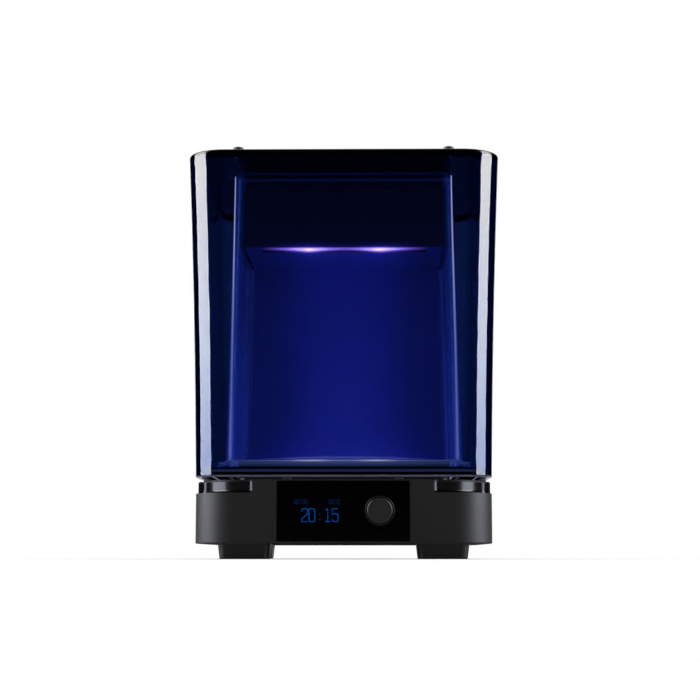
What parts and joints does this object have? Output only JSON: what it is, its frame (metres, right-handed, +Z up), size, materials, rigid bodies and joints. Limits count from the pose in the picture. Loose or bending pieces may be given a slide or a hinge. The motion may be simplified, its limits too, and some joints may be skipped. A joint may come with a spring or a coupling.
{
  "type": "dental lab light curing unit",
  "caption": "Bench unit that cures printed dental parts under violet light: turntable, lamp tower and lift-off smoked hood.",
  "frame": {"origin": "under the unit's centre, on the surface that it stands on", "axes": "+Z up, the control panel faces -Y, +X to the right seen from the front"},
  "size_m": [0.2416, 0.2542, 0.3165],
  "materials": {
    "housing": "fine matt texture, dark grey",
    "grip_black": "glossy black",
    "plate_steel": "black powder coat",
    "foot_rubber": "satin black",
    "fastener_steel": "zinc plated",
    "panel_gloss": "polished black",
    "display_glass": "dark display glass",
    "knob_grey": "satin dark grey",
    "bezel_metal": "black anodised",
    "encoder_metal": "plated",
    "shaft_steel": "ground",
    "plunger_white": "natural",
    "circuit_board": "green solder mask",
    "post_plastic": "black",
    "deck_black": "satin black",
    "disc_glass": "clear toughened glass",
    "hub_plastic": "black",
    "bearing_plastic": "natural acetal",
    "motor_metal": "zinc plated",
    "tower_black": "matt black",
    "reflector_sheet": "bright satin",
    "lens_clear": "frosted diffuser, lit violet",
    "emitter_die": "lit lamp chips",
    "board_metal": "white solder mask on aluminium",
    "heatsink_metal": "extruded",
    "spine_steel": "zinc plated sheet",
    "heater_silicone": "silicone heater mat",
    "pad_rubber": "black",
    "sensor_black": "black",
    "inlet_black": "black moulded",
    "pin_metal": "nickel plated",
    "rocker_black": "black moulded",
    "fan_black": "black moulded",
    "supply_case": "zinc plated sheet case",
    "hood_smoke": "dark blue smoked acrylic, polished",
    "hood_black": "polished black",
    "box_tint": "lightly tinted acrylic",
    "stud_tint": "tinted acrylic",
    "gasket_black": "black foam",
    "frame_tint": "dark blue polished",
    "magnet_nickel": "nickel plated"
  },
  "bodies": {
    "base": {"base_shell": "housing", "grip_liner_left": "grip_black", "grip_liner_right": "grip_black", "bottom_plate": "plate_steel", "feet": "foot_rubber", "foot_screws": "fastener_steel", "control_panel": "panel_gloss", "display_module": "display_glass", "knob_bezel": "bezel_metal", "encoder_body": "encoder_metal", "control_board": "circuit_board", "panel_posts": "post_plastic", "deck_plate": "deck_black", "turntable_bearing": "bearing_plastic", "drive_motor": "motor_metal", "motor_bracket": "motor_metal", "tower_shell": "tower_black", "back_reflector": "reflector_sheet", "ceiling_reflector": "reflector_sheet", "led_lens": "lens_clear", "led_emitters": "emitter_die", "led_board": "board_metal", "led_heatsink": "heatsink_metal", "tower_spine": "spine_steel", "heater_pad": "heater_silicone", "rim_pads": "pad_rubber", "reed_sensor": "sensor_black", "power_inlet": "inlet_black", "inlet_pins": "pin_metal", "switch_body": "inlet_black", "fan_frame": "fan_black", "vent_grille": "fan_black", "power_supply": "supply_case", "main_board": "circuit_board", "board_standoffs": "post_plastic"},
    "hood": {"hood_sleeve": "hood_smoke", "hood_top": "hood_black", "top_bumpers": "pad_rubber", "inner_box": "box_tint", "box_studs": "stud_tint", "flange_gasket": "gasket_black", "hood_frame": "frame_tint", "rim_gasket": "gasket_black", "hood_magnet": "magnet_nickel"},
    "turntable": {"turntable_disc": "disc_glass", "turntable_hub": "hub_plastic", "motor_shaft": "shaft_steel"},
    "knob_press": {"encoder_plunger": "plunger_white"},
    "knob": {"knob": "knob_grey", "encoder_shaft": "shaft_steel"},
    "rocker": {"power_rocker": "rocker_black"},
    "fan": {"fan_rotor": "fan_black"}
  },
  "joints": [
    {"name": "hood_lift", "type": "slide", "parent": "base", "child": "hood", "axis": [0, 0, 1], "range_m": [0, 0.25]},
    {"name": "turntable_spin", "type": "hinge", "parent": "base", "child": "turntable", "pos_m": [0, -0.022, 0.0758], "axis": [0, 0, 1], "continuous": true},
    {"name": "knob_press", "type": "slide", "parent": "base", "child": "knob_press", "axis": [0, 1, 0], "range_m": [0, 0.001], "stiffness_N_per_m": 3000, "springref_m": -0.0005},
    {"name": "knob_turn", "type": "hinge", "parent": "knob_press", "child": "knob", "pos_m": [0.0274, -0.12, 0.0359], "axis": [0, -1, 0], "continuous": true},
    {"name": "power_switch", "type": "hinge", "parent": "base", "child": "rocker", "pos_m": [0.021, 0.119, 0.035], "axis": [1, 0, 0], "range_deg": [-20, 0]},
    {"name": "fan_spin", "type": "hinge", "parent": "base", "child": "fan", "pos_m": [-0.045, 0.112, 0.035], "axis": [0, 1, 0], "continuous": true}
  ]
}
